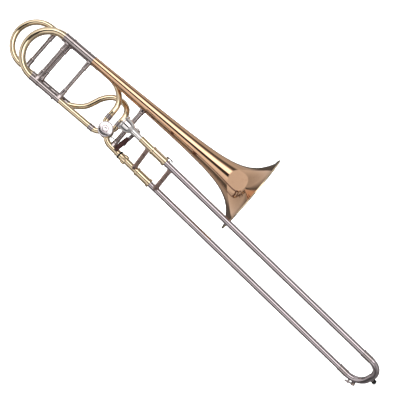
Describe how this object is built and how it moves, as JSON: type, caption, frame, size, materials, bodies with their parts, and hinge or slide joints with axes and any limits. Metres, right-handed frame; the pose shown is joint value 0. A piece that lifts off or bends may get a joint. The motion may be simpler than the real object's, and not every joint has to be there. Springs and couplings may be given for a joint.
{
  "type": "trombone",
  "caption": "Tenor slide trombone with a rotary-valve F attachment: flared bell section, tuning slides, thumb lever, telescoping hand slide with water key, and mouthpiece.",
  "frame": {"origin": "centre of the mouthpiece rim, on the axis of the upper hand slide tube", "axes": "+X forward along the hand slide, +Y to the player's left, +Z from the lower slide tube to the upper one"},
  "size_m": [1.2064, 0.2469, 0.23],
  "materials": {
    "rose_brass": "lacquered, polished",
    "yellow_brass": "lacquered, polished",
    "nickel_silver": "polished nickel silver",
    "warm_nickel": "polished nickel silver, tarnished warm",
    "rotor_brass": "turned",
    "polished_nickel": "mirror polished",
    "slide_nickel": "polished nickel silver",
    "chrome": "hard chrome, polished",
    "silver_plate": "silver plate, mirror polished",
    "steel": "turned",
    "black_grip": "gloss",
    "black_rubber": "satin",
    "cork": "cut cork"
  },
  "bodies": {
    "bell_section": {"bell_flare": "rose_brass", "bell_throat": "rose_brass", "bell_stem": "rose_brass", "bell_rim_wire": "yellow_brass", "main_outer_leg_upper": "nickel_silver", "main_outer_leg_lower": "nickel_silver", "main_lead_tube": "yellow_brass", "valve_ferrules": "nickel_silver", "valve_knuckles": "yellow_brass", "rotor_casing": "yellow_brass", "rotor_cap": "polished_nickel", "rotor_back_plate": "yellow_brass", "bumper_holder": "nickel_silver", "rotor_bumpers": "cork", "gooseneck": "yellow_brass", "neck_receiver": "yellow_brass", "receiver_ring": "black_rubber", "f_outer_legs": "nickel_silver", "f_upper_tube": "yellow_brass", "f_lower_tube": "yellow_brass", "bell_brace": "nickel_silver", "cross_braces": "nickel_silver", "f_posts": "nickel_silver", "lever_bracket": "nickel_silver"},
    "main_tuning_slide": {"main_bow": "yellow_brass", "main_inner_legs": "nickel_silver", "main_bow_ferrules": "nickel_silver", "main_bow_brace": "nickel_silver"},
    "f_tuning_slide": {"f_bow": "yellow_brass", "f_inner_legs": "nickel_silver", "f_bow_ferrules": "nickel_silver", "f_bow_brace": "nickel_silver"},
    "rotor": {"rotor": "rotor_brass", "stop_arm": "nickel_silver"},
    "thumb_lever": {"lever_shaft": "steel", "thumb_arm": "nickel_silver", "thumb_grip": "black_grip", "link_arm": "nickel_silver", "lever_spring": "steel"},
    "linkage_rod": {"linkage_rod": "steel"},
    "inner_slide": {"slide_receiver": "yellow_brass", "neck_tenon": "yellow_brass", "inner_tube_upper": "chrome", "inner_tube_lower": "chrome", "cork_barrel_upper": "yellow_brass", "cork_barrel_lower": "yellow_brass", "barrel_corks": "cork", "inner_brace": "warm_nickel"},
    "lock_nut": {"lock_nut": "yellow_brass"},
    "slide_lock": {"slide_lock_ring": "nickel_silver"},
    "outer_slide": {"outer_tube_upper": "slide_nickel", "outer_tube_lower": "slide_nickel", "outer_brace": "warm_nickel", "crook_sleeves": "nickel_silver", "crook": "slide_nickel", "crook_bumper": "black_rubber", "water_key_seat": "nickel_silver"},
    "water_key": {"water_key": "nickel_silver", "key_pad": "cork"},
    "mouthpiece": {"mouthpiece": "silver_plate"}
  },
  "joints": [
    {"name": "main_tuning_pull", "type": "slide", "parent": "bell_section", "child": "main_tuning_slide", "axis": [-0.9978, -0.062, -0.0239], "range_m": [0, 0.05]},
    {"name": "f_tuning_pull", "type": "slide", "parent": "bell_section", "child": "f_tuning_slide", "axis": [-0.9978, -0.062, -0.0239], "range_m": [0, 0.06]},
    {"name": "thumb_press", "type": "hinge", "parent": "bell_section", "child": "thumb_lever", "pos_m": [0.02846, 0.05357, -0.04239], "axis": [0.0235, -0.6658, 0.7458], "range_deg": [0, 16.1], "stiffness_Nm_per_rad": 0.4, "springref_deg": -22.92},
    {"name": "rotor_turn", "type": "hinge", "parent": "bell_section", "child": "rotor", "pos_m": [-0.0274, 0.01385, -0.07609], "axis": [0.0235, -0.6658, 0.7458], "range_deg": [0, 90.2]},
    {"name": "link_swing", "type": "hinge", "parent": "thumb_lever", "child": "linkage_rod", "pos_m": [0.02434, 0.03624, -0.09125], "axis": [0.0235, -0.6658, 0.7458], "range_deg": [-16.2, 0]},
    {"name": "section_swivel", "type": "hinge", "parent": "bell_section", "child": "inner_slide", "pos_m": [0.05, 0, -0.09], "axis": [1, 0, 0], "range_deg": [0, 45]},
    {"name": "lock_nut_turn", "type": "hinge", "parent": "inner_slide", "child": "lock_nut", "pos_m": [0.05, 0, -0.09], "axis": [1, 0, 0], "range_deg": [0, 720]},
    {"name": "slide_lock_turn", "type": "hinge", "parent": "inner_slide", "child": "slide_lock", "pos_m": [0.132, 0, 0], "axis": [1, 0, 0], "range_deg": [0, 40]},
    {"name": "hand_slide_travel", "type": "slide", "parent": "inner_slide", "child": "outer_slide", "axis": [1, 0, 0], "range_m": [0, 0.58]},
    {"name": "water_key_press", "type": "hinge", "parent": "outer_slide", "child": "water_key", "pos_m": [0.80495, -0.00479, -0.10062], "axis": [0.1445, 0.9397, -0.31], "range_deg": [0, 25], "stiffness_Nm_per_rad": 0.02, "springref_deg": -34.38},
    {"name": "mouthpiece_pull", "type": "slide", "parent": "inner_slide", "child": "mouthpiece", "axis": [-1, 0, 0], "range_m": [0, 0.03]}
  ],
  "couplings": [
    {"joint": "rotor_turn", "follows": "thumb_press", "ratio": 5.5901},
    {"joint": "link_swing", "follows": "thumb_press", "ratio": -1}
  ]
}
